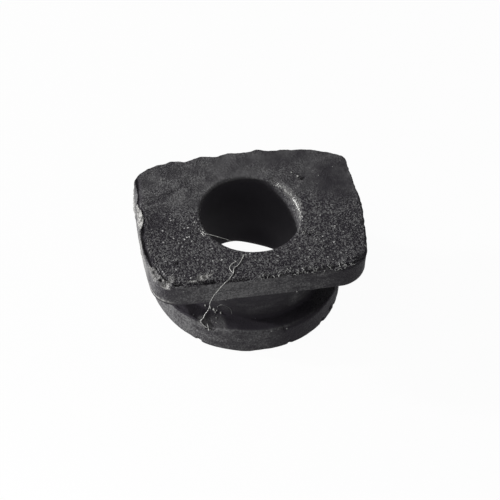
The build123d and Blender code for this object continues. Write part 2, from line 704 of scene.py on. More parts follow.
SCARS = (
    # Head, top face: pits
    Scar((9.7, 6.2, 15.0), (0.42, 0.3, 0.8), (0.0, 0.0, -0.45), turn=20, ragged=0.15),
    Scar((8.1, -5.6, 15.0), (0.34, 0.24, 0.7), (0.0, 0.0, -0.35), turn=40, ragged=0.15),
    Scar((-9.9, -2.6, 15.0), (0.4, 0.2, 0.6), (0.0, 0.0, -0.25), turn=70, ragged=0.2),
    Scar((-13.0, -8.4, 15.0), (0.5, 0.22, 0.6), (0.0, 0.0, -0.25), turn=-50, ragged=0.2),
    # Head, top face: patches with more dust, and with less
    Scar((-9.5, 5.5, 15.0), (5.0, 6.0, 2.0), turn=20, crispness=0.0, ragged=0.3, dust_and_painted_light=0.2),
    Scar((-9.0, -8.3, 15.0), (5.0, 3.0, 2.0), turn=10, crispness=0.0, ragged=0.4, dust_and_painted_light=0.12),
    Scar((-14.5, 0.6, 15.0), (3.6, 4.6, 2.0), crispness=0.0, ragged=0.5, dust_and_painted_light=-0.38),
    Scar((-13.0, -9.2, 15.0), (4.2, 2.2, 2.0), turn=30, crispness=0.0, ragged=0.5, dust_and_painted_light=-0.22),
    Scar((-10.3, -2.2, 15.0), (2.6, 3.0, 2.0), crispness=0.0, ragged=0.5, dust_and_painted_light=-0.2),
    Scar((14.0, 5.0, 15.0), (4.2, 7.0, 2.0), crispness=0.0, ragged=0.4, dust_and_painted_light=-0.32),
    Scar((8.0, 10.9, 15.0), (5.0, 2.6, 2.0), crispness=0.0, ragged=0.4, dust_and_painted_light=-0.2),
    Scar((8.6, -3.6, 15.0), (2.2, 3.6, 2.0), crispness=0.0, ragged=0.4, dust_and_painted_light=0.1),
    Scar((-1.0, -9.8, 15.0), (5.6, 2.6, 2.0), turn=-6, ragged=0.4, dust_and_painted_light=0.22),
    # Head, top face: pale smears along the front edge
    Scar((-11.3, -12.2, 15.0), (1.5, 0.26, 1.2), turn=-6, torn_and_highlight=0.7, crispness=0.4, ragged=0.3, dust_and_painted_light=0.4),
    Scar((-9.7, -11.7, 15.0), (1.4, 0.7, 1.2), turn=14, torn_and_highlight=0.95, ragged=0.45, dust_and_painted_light=0.4),
    Scar((-8.5, -11.3, 15.0), (0.9, 0.35, 1.2), turn=20, torn_and_highlight=0.7, ragged=0.35, dust_and_painted_light=0.3),
    # Head, front left corner: torn patches, and the hollow between them painted dark as shade
    Scar((-14.4, -11.4, 15.0), (0.6, 0.85, 0.8), (0.0, 0.0, 0.05),
         turn=-20, torn_and_highlight=0.85, crispness=0.6, dust_and_painted_light=0.5),
    Scar((-15.5, -11.4, 15.0), (0.45, 0.7, 0.9), turn=20, torn_and_highlight=0.6, crispness=0.4, ragged=0.5),
    Scar((-15.95, -11.2, 15.0), (0.3, 0.42, 0.9), (0.0, 0.0, -0.4),
         turn=20, crispness=0.4, ragged=0.3, dust_and_painted_light=-1.0),
    # Bore: a chalky crust on the mouth's right side
    Scar(on_circle(7.85, -8.0, 14.5), (1.5, 0.5, 0.8), turn=82, torn_and_highlight=0.5, crispness=0.2, ragged=0.6),
    Scar(on_circle(7.85, 9.0, 14.4), (2.3, 0.7, 1.0), turn=99, torn_and_highlight=0.78, ragged=0.6),
    Scar(on_circle(7.85, 27.0, 14.65), (1.9, 0.5, 0.7), turn=117, torn_and_highlight=0.5, ragged=0.6),
    Scar(on_circle(8.1, 42.0, 15.0), (2.8, 0.8, 0.9), (0.0, 0.0, -0.2),
         turn=132, torn_and_highlight=0.16, crispness=0.2, ragged=0.4, dust_and_painted_light=0.25),
    # Head, left side: bulged at its top edge, and behind the bite
    Scar((-17.4, 7.6, 11.6), (2.6, 1.4, 4.2), (-0.2, 0.0, 0.0), turn=90, crispness=0.1, ragged=0.1),
    Scar((-17.6, 7.2, 15.0), (3.4, 1.3, 1.9), (0.42, 0.0, 0.0),
         turn=90, crispness=0.4, ragged=0.1, dust_and_painted_light=0.25),
    Scar((-17.2, 6.8, 12.1), (3.2, 1.2, 1.8), turn=92, torn_and_highlight=0.8, crispness=0.5, ragged=0.2, dust_and_painted_light=0.3),
    Scar((-16.6, 9.2, 12.1), (1.9, 1.2, 1.9), turn=105, torn_and_highlight=0.8, crispness=0.5, ragged=0.2, dust_and_painted_light=0.3),
    Scar((-17.5, -3.4, 13.0), (6.0, 0.8, 2.6), turn=88, torn_and_highlight=0.5, crispness=0.4, ragged=0.3, dust_and_painted_light=0.25),
    Scar((-17.4, -4.2, 15.0), (4.8, 1.0, 1.8), (-0.24, 0.0, 0.0), turn=88, ragged=0.1),
    # Collar: its rim pressed down on the left
    Scar(on_circle(15.0, -147.0, 4.4), (2.6, 1.2, 1.2), (0.0, 0.0, -0.36),
         turn=-57, crispness=0.2, ragged=0.15),
    # Collar: fuller at its foot in front
    Scar(on_circle(15.0, -113.0, 0.0), (9.0, 1.8, 3.6), on_circle(0.3, -113.0, 0.0), turn=-23, ragged=0.1),
    # Collar: streaks
    Scar(on_circle(15.0, -101.0, 3.1), (2.6, 0.9, 0.16), turn=-8, crispness=0.2, ragged=0.5, dust_and_painted_light=-0.3),
    Scar(on_circle(15.0, -104.0, 2.5), (3.4, 0.9, 0.14), turn=-12, crispness=0.2, ragged=0.5, dust_and_painted_light=0.2),
    Scar(on_circle(15.0, -96.0, 3.6), (3.0, 0.9, 0.12), turn=-6, crispness=0.2, ragged=0.5, dust_and_painted_light=-0.3),
    Scar(on_circle(15.0, -112.0, 1.6), (3.0, 0.9, 0.2), turn=-22, crispness=0.2, ragged=0.5, dust_and_painted_light=-0.2),
    # Collar: nicks
    collar_scar(-38.5, 1.3, 0.5, 0.3, crispness=0.4),
    collar_scar(-47.5, 0.6, 0.7, 0.25),
    collar_scar(-30.0, 3.6, 0.8, 0.2, crispness=0.2),
    collar_scar(-26.0, 1.0, 0.5, 0.3, crispness=0.4),
    collar_scar(-32.5, 0.4, 0.4, 0.22, crispness=0.4),
    collar_scar(-17.0, 2.0, 0.6, 0.24),
    collar_scar(-74.0, 0.5, 0.5, 0.22),
    collar_scar(-130.0, 0.2, 0.6, 0.25),
    collar_scar(-78.0, 4.3, 0.5, 0.15, 0.2, crispness=0.2),
    collar_scar(20.0, 4.2, 0.9, 0.2, 0.2, crispness=0.2),
    collar_scar(75.0, 0.4, 1.1, 0.25, crispness=0.2),
    collar_scar(118.0, 4.3, 0.8, 0.2, 0.25, crispness=0.2),
    collar_scar(160.0, 2.0, 0.7, 0.15, crispness=0.2),
    # Collar: a low seam across its ledge along the ledge's painted shadow edge, and the broken wedge given
    # dust that also paints light into the shadow of its sheer side
    Scar((-6.1, -12.3, 4.4), (2.6, 0.3, 0.8), (0.0, 0.0, 0.08),
         turn=93, crispness=0.2, ragged=0.2, dust_and_painted_light=0.1),
    Scar((-8.8, -11.4, 4.0), (1.5, 1.3, 1.6), turn=-20, torn_and_highlight=0.12, ragged=0.4, dust_and_painted_light=0.5),
    # Bore: swollen inwards at its foot
    Scar(on_circle(7.75, 64.0, 0.0), (4.6, 1.6, 4.0), on_circle(-0.5, 64.0, 0.0),
         turn=154, crispness=0.0, ragged=0.0),
    # Neck: a dusty smear, and a faint line above the collar
    Scar((5.3, -10.8, 6.6), (1.3, 1.0, 1.9), turn=26, crispness=0.2, ragged=0.5, dust_and_painted_light=0.3),
    Scar((-1.0, -12.0, 6.6), (4.6, 0.9, 0.35), turn=3, crispness=0.2, ragged=0.3, dust_and_painted_light=0.22),
)


@dataclass(frozen=True)
class RimChip:
    """A wedge broken out of the collar's top rim, sheer at one end and running out at the other."""

    sheer: float = -130.0  # degrees round the collar
    deepest: float = -125.6
    runs_out: float = -107.0
    depth: float = 1.15
    inner: float = 12.3
    outer: float = 14.8
    top: float = 4.4

    def apply(self, worn: np.ndarray, noise: FieldNoise) -> None:
        """Cuts the wedge out.

        Args:
            worn: Points of the moulding, changed in place.
            noise: Makes the break uneven.
        """
        angle = around(worn) + 0.5 * noise.at(worn, 0.6)
        sheer_side = smooth_step(angle, self.sheer, self.deepest)
        long_side = np.clip((self.runs_out - angle) / (self.runs_out - self.deepest), 0, 1)
        radius = from_axis(worn)
        outward = np.clip((radius - self.inner) / (self.outer - self.inner), 0, 1) ** 2.2
        depth = self.depth * np.minimum(sheer_side, long_side) * outward
        depth *= 1 + 0.25 * noise.layered(worn, 0.9, 2)
        roof = self.top - depth
        cut = (worn[..., 2] > roof) & (worn[..., 2] < self.top + 0.5) & (radius > self.inner) & (depth > 0)
        worn[..., 2] = np.where(cut, roof, worn[..., 2])


@dataclass
class WornSurface:
    """The moulding's points after wear, and how worn, dusty and grainy each of them is; its dust and torn
    values also hold painted light and shade.
    """

    points: np.ndarray
    normals: np.ndarray
    torn_and_highlight: np.ndarray
    dust_and_painted_light: np.ndarray
    grain: np.ndarray


def blur_rings(values: np.ndarray) -> np.ndarray:
    """Blurs values a little from each ring to the next."""
    return (np.roll(values, 1, axis=0) + 2 * values + np.roll(values, -1, axis=0)) / 4


@dataclass
class Wear:
    """What years of use have done to the moulding, with painted light and shade laid into its dust and torn
    values.
    """

    chip: RimChip = field(default_factory=RimChip)
    slow: FieldNoise = field(default_factory=lambda: FieldNoise(11))
    quick: FieldNoise = field(default_factory=lambda: FieldNoise(23))
    fine: FieldNoise = field(default_factory=lambda: FieldNoise(37))
    # How far the skin strays from its clean form
    slow_wave: float = 0.10
    short_wave: float = 0.035
    rim_wander: float = 0.16
    tear_roughness: float = 0.34
    top_grain: float = 0.034
    wall_grain: float = 0.010
    collar_ease: float = 0.3
    # Dust, from 0 for bare rubber to 1 for a full film
    top_dust: float = 0.43
    side_dust: float = 0.34
    underside_dust: float = 0.05
    # Painted shade: less dust on the mouth's rounding on the right, which is darker in shade.
    mouth_dust_and_shade: float = 0.25
    # A pale scuffed line along the collar's rim, also its painted highlight.
    rim_scuff_and_highlight: float = 0.3
    # Contrast of the grain
    wall_contrast: float = 0.28
    hidden_contrast: float = 0.14
    # Places
    ledge_reach: float = 14.55  # radius near which the collar's flat top ends
    shaded_rim: tuple[float, float] = (-170.0, -130.0)  # degrees; there the collar's top rim and the ledge out to it are painted dark as shade, with no scuff
    lower_rim_highlight: float = 11.74  # height of the painted highlight line just above the head's lower rim

    def rim_gap(self, points: np.ndarray, zones: np.ndarray) -> np.ndarray:
        """Distance along the surface from each point to the head's top edge.

        Args:
            points: The clean moulding as rings by stations.
            zones: The zone number of each ring.

        Returns:
            The distance in millimetres, negative on the top face.
        """
        steps = np.linalg.norm(np.diff(points, axis=0), axis=2)
        along = np.concatenate([np.zeros((1, points.shape[1])), np.cumsum(steps, axis=0)])
        edge = int(np.flatnonzero(zones == Zone.RIM.value).mean())
        return along - along[edge]

    def collar_rounding(self, points: np.ndarray, zone: np.ndarray) -> np.ndarray:
        """How far the collar's top rim is rubbed down; its left side is still sharp.

        Args:
            points: The clean moulding.
            zone: The zone number of each point.

        Returns:
            How far each point sinks.
        """
        angle = around(points)
        rubbed = smooth_step(angle, -112.0, -92.0) * (1 - 0.8 * smooth_step(angle, -62.0, -42.0))
        slope = self.collar_ease * rubbed * np.clip((from_axis(points) - self.ledge_reach) / 0.45, 0, 1)
        near = on(zone, Zone.LEDGE, Zone.COLLAR)
        return np.where(near, slope * smooth_step(points[..., 2], 1.5, 4.2), 0.0)

    def damaged(self, points: np.ndarray, zone: np.ndarray) -> tuple[np.ndarray, np.ndarray, np.ndarray]:
        """Presses, tears and breaks the clean moulding.

        Args:
            points: The clean moulding.
            zone: The zone number of each point.

        Returns:
            The worn points, how raw each one is, and how much dust the creases and scars add or take away,
            with painted shade in creases and hollows and painted light on the broken wedge.
        """
        torn_and_highlight = np.zeros(zone.shape)
        added_dust_and_light = np.zeros(zone.shape)
        worn = points.copy()
        worn[..., 2] -= self.collar_rounding(points, zone)
        for crease in CREASES:
            weight = crease.weight(points, self.quick, points[..., 2].max())
            worn[..., 2] -= crease.depth * weight
            added_dust_and_light += crease.dust_and_painted_light * weight
        for scar in SCARS:
            weight = scar.weight(points, self.quick)
            worn += weight[..., None] * np.array(scar.push)
            torn_and_highlight = np.maximum(torn_and_highlight, weight * scar.torn_and_highlight)
            added_dust_and_light += weight * scar.dust_and_painted_light
        self.chip.apply(worn, self.quick)
        for facet in FACETS:
            facet.apply(worn, torn_and_highlight, self.quick)
        return worn, torn_and_highlight, added_dust_and_light

    def relief(self, points: np.ndarray, zones: np.ndarray, zone: np.ndarray,
               torn_and_highlight: np.ndarray) -> np.ndarray:
        """How far the skin stands out from its clean form, in waves, tears and grain.

        Args:
            points: The clean moulding.
            zones: The zone number of each ring.
            zone: The zone number of each point.
            torn_and_highlight: How raw each point is.

        Returns:
            The height at each point; the foot stays flat.
        """
        waves = self.slow_wave * self.slow.layered(points, 7.0, 2)
        waves += self.short_wave * self.quick.layered(points, 1.8, 2)
        rim = bell(self.rim_gap(points, zones), 0.0, 0.7)
        wander = self.rim_wander * rim * self.quick.layered(points, 1.1, 3)
        shredded = self.tear_roughness * torn_and_highlight * self.fine.layered(points, 0.6, 3)
        grain = np.where(on(zone, Zone.TOP, Zone.MOUTH), self.top_grain, self.wall_grain)
        grain = grain * self.fine.layered(points, 0.42, 2)
        return np.where(on(zone, Zone.FOOT), 0.0, waves + wander + shredded + grain)

    def front_left_corner(self, points: np.ndarray, zone: np.ndarray) -> np.ndarray:
        """How far each point belongs to the wall of the head's front left corner."""
        corner = smooth_step(-points[..., 0], 11.5, 13.5) * smooth_step(-points[..., 1], 7.0, 9.5)
        return corner * on(zone, Zone.SIDE)

    def head_dust(self, points: np.ndarray) -> np.ndarray:
        """Dust on the head's top face, thicker in front and a little thicker to the left."""
        return self.top_dust + 0.11 * smooth_step(-points[..., 1], 0.0, 11.0) - 0.003 * points[..., 0]

    def bore_dust_and_light(self, points: np.ndarray) -> np.ndarray:
        """Dust on the bore's wall, laid as painted light: it covers only the strip that the lamp lights
        below the mouth's right side, and ends at the line of the mouth's shadow.

        Args:
            points: The clean moulding.

        Returns:
            The dust at each point.
        """
        angle = around(points)
        reach = np.clip(5.2 - 0.08 * angle, 0.0, 5.2) * smooth_step(angle, -60.0, -20.0)
        drop = points[..., 2].max() - points[..., 2]
        return 0.5 * (1 - smooth_step(drop, reach - 0.5, reach + 0.3))

    def neck_dust_and_shade(self, points: np.ndarray) -> np.ndarray:
        """Dust on the neck, with painted shade: none at its foot, where the neck meets the ledge, and more
        to the right, painted light where the neck's right side is lit.
        """
        right = smooth_step(points[..., 0], 2.0, 8.0)
        return (0.13 + 0.16 * right) * smooth_step(points[..., 2], 4.85, 5.15)

    def ledge_dust_and_shadow(self, points: np.ndarray) -> np.ndarray:
        """Dust on the collar's ledge, with a painted shadow: bare and dark right of a line across its left
        side, where the head's shadow edge falls, and under the head's left overhang; more to the right,
        painted light in the groove's shade.

        Args:
            points: The clean moulding.

        Returns:
            The dust at each point.
        """
        angle = around(points) % 360
        dusty_and_lit = 1 - smooth_step(points[..., 0] + 0.06 * points[..., 1], -6.65, -6.4)
        dusty_and_lit *= 1 - smooth_step(-angle, -238.0, -228.0) * (angle > 180.0)
        return 0.02 + 0.23 * dusty_and_lit + 0.17 * smooth_step(points[..., 0], 7.0, 11.0)

    def wall_dust_and_light(self, points: np.ndarray) -> np.ndarray:
        """Dust on the outer walls, with painted light and shade: lighter on the left, which faces the
        lamps, and along the left part of the front, darker on the shaded right, and less at the head's
        front left corner.

        Args:
            points: The clean moulding.

        Returns:
            The dust at each point.
        """
        angle = around(points) % 360
        x = points[..., 0]
        head = points[..., 2] > 8.0
        left = np.where(head, 0.48 * bell(angle, 190.0, 32.0), 0.52 * bell(angle, 204.0, 23.5))
        front = bell(x, -5.0, 8.0) * smooth_step(-points[..., 1], 12.5, 13.2)
        corner = bell(angle, 222.0, 10.0)
        right = np.where(head, 0.23 * smooth_step(x, 8.0, 12.0), 0.44 * smooth_step(x, -1.0, 6.0))
        return self.side_dust + left - right + head * (0.37 * front - 0.3 * corner)

    def dust_and_painted_light(self, points: np.ndarray, zone: np.ndarray, added_dust_and_light: np.ndarray) -> np.ndarray:
        """How dusty each point is, with painted light and shade laid into the same values.

        Args:
            points: The clean moulding.
            zone: The zone number of each point.
            added_dust_and_light: Dust that the creases and scars add or take away, with their painted shade
                and light.

        Returns:
            From 0 for bare rubber to a little over 1 for a full film.
        """
        angle, radius, height = around(points), from_axis(points), points[..., 2]
        # Painted shade: on the left, the collar's top rim band and the whole ledge out to the rim take the
        # ledge's dark values.
        left, right = self.shaded_rim
        shaded_rim_band = on(zone, Zone.COLLAR) & (height > 4.1) & (angle > left) & (angle < right)
        ledge = on(zone, Zone.LEDGE) & ((radius < self.ledge_reach) | (angle < right)) | shaded_rim_band
        layers = (
            (on(zone, Zone.TOP, Zone.MOUTH), self.head_dust(points)),
            (on(zone, Zone.BORE), self.bore_dust_and_light(points)),
            # Painted shade: the mouth's rounding on the right takes less dust.
            (on(zone, Zone.MOUTH) & (points[..., 0] > 5.0), self.mouth_dust_and_shade),
            (on(zone, Zone.NECK), self.neck_dust_and_shade(points)),
            (ledge, self.ledge_dust_and_shadow(points)),
            (on(zone, Zone.UNDERSIDE), self.underside_dust),
        )
        dust_and_painted_light = self.wall_dust_and_light(points)
        for covered, amount in layers:
            dust_and_painted_light = np.where(covered, amount, dust_and_painted_light)
        # A scuffed line along the collar's rim, also a painted highlight, left off on the left where the
        # rim is painted dark.
        rim_scuff_line = bell(radius, self.ledge_reach + 0.08, 0.12) * (np.abs(height - 4.3) < 0.3)
        added_dust_and_light = added_dust_and_light + self.rim_scuff_and_highlight * rim_scuff_line * (angle > right)
        # Painted shadow: a dark line along the head's lower rim at its front left corner, where the dust is
        # taken away.
        lower_rim_shadow = self.front_left_corner(points, zone) * smooth_step(-height, -11.62, -11.4)
        return blur_rings(np.clip(dust_and_painted_light + added_dust_and_light - 0.9 * lower_rim_shadow, 0, 1.2))

    def grain(self, points: np.ndarray, zone: np.ndarray) -> np.ndarray:
        """How strongly the grain shows: most on the front half of the top face.

        Args:
            points: The clean moulding.
            zone: The zone number of each point.

        Returns:
            The contrast, about 1 where it shows fully.
        """
        x, y = points[..., 0], points[..., 1]
        front = bell(x, 3.5, 6.0) * bell(y, -11.3, 2.4)
        left = smooth_step(-x, 6.0, 10.0) * bell(y, 0.0, 5.0)
        gritty = 1 + 0.45 * self.slow.layered(points, 4.5, 2)
        gritty += 0.4 * front + 0.3 * left - 0.78 * smooth_step(y, -9.0, 8.0)
        grain = np.where(on(zone, Zone.TOP, Zone.MOUTH), gritty, self.wall_contrast)
        grain = np.where(on(zone, Zone.BORE), 1.1 * self.bore_dust_and_light(points), grain)
        grain = np.where(on(zone, Zone.NECK, Zone.LEDGE), self.hidden_contrast, grain)
        return blur_rings(grain)

    def apply(self, points: np.ndarray, zones: np.ndarray) -> WornSurface:
        """Wears the clean moulding.

        Args:
            points: Rings by stations by x, y, z.
            zones: The zone number of each ring.

        Returns:
            The worn surface.
        """
        zone = zones[:, None] * np.ones(points.shape[1], int)
        worn, torn_and_highlight, added_dust_and_light = self.damaged(points, zone)
        worn += self.relief(points, zones, zone, torn_and_highlight)[..., None] * ring_normals(points)
        worn[..., 2] = np.maximum(worn[..., 2], 0.0)
        # Painted highlight: a pale line just above the head's lower rim at its front left corner, laid into
        # the torn values.
        lower_rim_highlight = bell(points[..., 2], self.lower_rim_highlight, 0.14) * smooth_step(-points[..., 0], 14.0, 15.0)
        torn_and_highlight = np.maximum(torn_and_highlight, lower_rim_highlight * self.front_left_corner(points, zone))
        dust_and_painted_light = self.dust_and_painted_light(points, zone, added_dust_and_light)
        return WornSurface(worn, ring_normals(worn), torn_and_highlight, dust_and_painted_light, self.grain(points, zone))


# ---------------------------------------------------------------- meshes


def add_mesh(name: str, points: np.ndarray, faces: np.ndarray | list) -> bpy.types.Object:
    """Makes a smooth-shaded object from points in millimetres.

    Args:
        name: The object's name.
        points: One row of x, y and z for each corner.
        faces: The corner numbers of each face.

    Returns:
        The new object, linked to the scene.
    """
    mesh = bpy.data.meshes.new(name)
    mesh.from_pydata((points * MM).tolist(), [], [list(map(int, face)) for face in faces])
    mesh.shade_smooth()
    mesh.update()
    made = bpy.data.objects.new(name, mesh)
    bpy.context.scene.collection.objects.link(made)
    return made


def add_layer(piece: bpy.types.Object, name: str, values: np.ndarray) -> None:
    """Stores one number for each of a piece's points, for its finish to read."""
    layer = piece.data.attributes.new(name, "FLOAT", "POINT")
    layer.data.foreach_set("value", np.ascontiguousarray(values.ravel(), np.float32))


def add_piece(piece: bpy.types.Object, finish: bpy.types.Material) -> None:
    """Dresses a piece and lets it ride on the moulding's body.

    Args:
        piece: The object.
        finish: Its material.
    """
    piece.data.materials.append(finish)
    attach(piece, BODY)
    LOG.info("%s: %d faces", piece.name, len(piece.data.polygons))


class Resting:
    """Finds where things lie on the worn surface."""

    def __init__(self, surface: WornSurface) -> None:
        """Keeps the surface's points and normals, a row for each."""
        self.points = surface.points.reshape(-1, 3)
        self.normals = surface.normals.reshape(-1, 3)

    def nearest(self, place: tuple[float, float, float] | np.ndarray) -> tuple[np.ndarray, np.ndarray]:
        """The surface point nearest to a place, and its outward normal."""
        number = int(((self.points - np.asarray(place)) ** 2).sum(axis=1).argmin())
        return self.points[number], self.normals[number]

    def laid(self, place: tuple[float, float, float], lift: float) -> np.ndarray:
        """A place moved onto the surface and lifted clear of it."""
        point, normal = self.nearest(place)
        return point + normal * lift


def smooth_route(points: np.ndarray, steps: int) -> np.ndarray:
    """A smooth line through some points.

    Args:
        points: The points, in order.
        steps: How many places to give back for each span.

    Returns:
        Places along the line.
    """
    padded = np.concatenate([[2 * points[0] - points[1]], points, [2 * points[-1] - points[-2]]])
    part = (np.arange(steps) / steps)[:, None]
    spans = []
    for before, start, end, after in zip(padded, padded[1:], padded[2:], padded[3:]):
        bend = 2 * before - 5 * start + 4 * end - after
        twist = 3 * start - before - 3 * end + after
        spans.append(start + part * ((end - before) + part * (bend + part * twist)) / 2)
    return np.concatenate(spans + [points[-1:]])


class TubeBatch:
    """Gathers many thin tubes into one mesh."""

    def __init__(self, sides: int) -> None:
        """Starts an empty batch.

        Args:
            sides: How many sides each tube has.
        """
        self.sides = sides
        self.points: list[np.ndarray] = []
        self.faces: list[tuple[int, ...]] = []
        self.count = 0

    def add(self, route: np.ndarray, radii: np.ndarray) -> None:
        """Adds one tube with closed, rounded ends.

        Args:
            route: Places along its middle.
            radii: Its radius at each place.
        """
        ahead = unit(np.gradient(route, axis=0))
        side = unit(np.cross(ahead, np.where(np.abs(ahead[:, 2:]) > 0.9, [[1.0, 0, 0]], [[0, 0, 1.0]])))
        over = np.cross(ahead, side)
        turn = np.arange(self.sides) * 2 * math.pi / self.sides
        rings = np.cos(turn)[None, :, None] * side[:, None] + np.sin(turn)[None, :, None] * over[:, None]
        rings = route[:, None] + rings * radii[:, None, None]
        start = self.count
        tips = np.stack([route[0] - ahead[0] * radii[0], route[-1] + ahead[-1] * radii[-1]])
        self.points += [rings.reshape(-1, 3), tips]
        for ring, side_number in itertools.product(range(len(route) - 1), range(self.sides)):
            next_side = (side_number + 1) % self.sides
            low, high = start + ring * self.sides, start + (ring + 1) * self.sides
            self.faces.append((low + side_number, low + next_side, high + next_side, high + side_number))
        first_tip = start + len(route) * self.sides
        last_ring = first_tip - self.sides
        for side_number in range(self.sides):
            next_side = (side_number + 1) % self.sides
            self.faces.append((start + next_side, start + side_number, first_tip))
            self.faces.append((last_ring + side_number, last_ring + next_side, first_tip + 1))
        self.count = first_tip + 2

    def build(self, name: str) -> bpy.types.Object:
        """Makes the object."""
        return add_mesh(name, np.concatenate(self.points), self.faces)


def pebble() -> tuple[np.ndarray, list[tuple[int, ...]]]:
    """Corners and faces of a small round stone of radius one.

    Returns:
        One row of x, y and z for each corner, and the corner numbers of each face.
    """
    golden = (1 + math.sqrt(5)) / 2
    corners = [(0, a, b * golden) for a in (-1, 1) for b in (-1, 1)]
    points = np.array([tuple(np.roll(corner, shift)) for shift in range(3) for corner in corners])
    points = unit(points.astype(float))
    gaps = np.linalg.norm(points[:, None] - points[None], axis=2)
    near = gaps < gaps[gaps > 0].min() * 1.1
    faces = []
    for one, two, three in itertools.combinations(range(len(points)), 3):
        if near[one, two] and near[two, three] and near[one, three]:
            outward = np.cross(points[two] - points[one], points[three] - points[one]) @ points[one]
            faces.append((one, two, three) if outward > 0 else (one, three, two))
    return points, faces


class GrainBatch:
    """Gathers many small grains of dirt into one mesh."""

    def __init__(self, draw: np.random.Generator) -> None:
        """Starts an empty batch.

        Args:
            draw: Gives the grains their uneven shapes.
        """
        self.draw = draw
        self.shape, self.shape_faces = pebble()
        self.points: list[np.ndarray] = []
        self.faces: list[tuple[int, ...]] = []

    def add(self, resting: Resting, place: tuple[float, float, float] | np.ndarray, size: float) -> None:
        """Sticks one grain to the rubber.

        Args:
            resting: Where the rubber is.
            place: Near where the grain lies.
            size: Its radius.
        """
        point, normal = resting.nearest(place)
        uneven = self.shape * self.draw.uniform(0.6, 1.2, 3) + self.draw.normal(0, 0.12, self.shape.shape)
        start = len(self.points) * len(self.shape)
        self.points.append(point + normal * size * 0.25 + uneven * size)
        self.faces += [tuple(corner + start for corner in face) for face in self.shape_faces]

    def build(self, name: str) -> bpy.types.Object:
        """Makes the object."""
        return add_mesh(name, np.concatenate(self.points), self.faces)


# ---------------------------------------------------------------- finishes


class Nodes:
    """A short way to place and join shader nodes."""

    def __init__(self, tree: bpy.types.NodeTree) -> None:
        """Works on one node tree."""
        self.tree = tree

    def put(self, kind: str, **values: object) -> bpy.types.Node:
        """Adds a node.

        Args:
            kind: The node type's name after ShaderNode.
            values: Properties to set on it.

        Returns:
            The node.
        """
        node = self.tree.nodes.new(kind if kind.startswith("NodeGroup") else "ShaderNode" + kind)
        for name, value in values.items():
            setattr(node, name, value)
        return node

    def feed(self, target: bpy.types.NodeSocket, source: object) -> None:
        """Joins a socket to an output, or sets it to a plain value.

        Args:
            target: The socket that takes it.
            source: An output, or a plain value.
        """
        if isinstance(source, bpy.types.NodeSocket):
            self.tree.links.new(source, target)
        else:
            target.default_value = source

    def join(self, node: bpy.types.Node, values: dict[str, object]) -> bpy.types.Node:
        """Feeds a node's inputs by their names.

        Args:
            node: The node.
            values: An output or a plain value for each input.

        Returns:
            The same node.
        """
        for name, source in values.items():
            self.feed(node.inputs[name], source)
        return node

    def math(self, operation: str, first: object, second: object) -> bpy.types.NodeSocket:
        """Works out a sum of two values.

        Args:
            operation: Blender's name for the sum.
            first: An output or a plain value.
            second: Another.

        Returns:
            The result.
        """
        node = self.put("Math", operation=operation)
        self.feed(node.inputs[0], first)
        self.feed(node.inputs[1], second)
        return node.outputs[0]

    def times(self, first: object, second: object) -> bpy.types.NodeSocket:
        """Multiplies two values."""
        return self.math("MULTIPLY", first, second)

    def ramp(self, value: object, low: float, high: float, start: float = 0.0,
             end: float = 1.0) -> bpy.types.NodeSocket:
        """Maps a value smoothly from one range to another.

        Args:
            value: What is mapped.
            low: Where the rise begins.
            high: Where it ends.
            start: The result up to low.
            end: The result from high on.

        Returns:
            The result.
        """
        node = self.put("MapRange", interpolation_type="SMOOTHSTEP")
        for socket, source in zip(node.inputs, (value, low, high, start, end)):
            self.feed(socket, source)
        return node.outputs[0]

    def blend(self, share: object, first: object, second: object) -> bpy.types.NodeSocket:
        """Mixes two colours.

        Args:
            share: The second colour's share, from 0 to 1.
            first: A colour.
            second: Another.

        Returns:
            The mixed colour.
        """
        node = self.put("Mix", data_type="RGBA")
        self.feed(node.inputs[0], share)
        self.feed(node.inputs[6], first)
        self.feed(node.inputs[7], second)
        return node.outputs[2]

    def noise(self, place: object, scale: object, detail: float,
              roughness: float = 0.55) -> bpy.types.NodeSocket:
        """Cloudy noise."""
        inputs = {"Vector": place, "Scale": scale, "Detail": detail, "Roughness": roughness}
        return self.join(self.put("TexNoise"), inputs).outputs["Fac"]

    def relief(self, height: bpy.types.NodeSocket, distance: float) -> bpy.types.NodeSocket:
        """Normals that make a height show; distance is in metres."""
        bump = self.join(self.put("Bump"), {"Distance": distance, "Height": height})
        return bump.outputs["Normal"]

    def layer(self, name: str) -> bpy.types.NodeSocket:
        """Reads a number stored on the mesh's points."""
        return self.put("Attribute", attribute_name=name).outputs["Fac"]


def new_group(name: str, inputs: dict[str, float], outputs: tuple[str, ...]) -> tuple[
        bpy.types.NodeTree, Nodes, bpy.types.Node, bpy.types.Node]:
    """Starts a shader node group, whose first input is the place on the object.

    Args:
        name: The group's name.
        inputs: Its other inputs, each with its plain value.
        outputs: The names of its outputs.

    Returns:
        The group, a way to add nodes to it, and its input and output nodes.
    """
    tree = bpy.data.node_groups.new(name, "ShaderNodeTree")
    tree.interface.new_socket("Place", in_out="INPUT", socket_type="NodeSocketVector")
    for socket, value in inputs.items():
        made = tree.interface.new_socket(socket, in_out="INPUT", socket_type="NodeSocketFloat")
        made.default_value = value
    for socket in outputs:
        tree.interface.new_socket(socket, in_out="OUTPUT", socket_type="NodeSocketFloat")
    nodes = Nodes(tree)
    return tree, nodes, nodes.put("NodeGroupInput"), nodes.put("NodeGroupOutput")


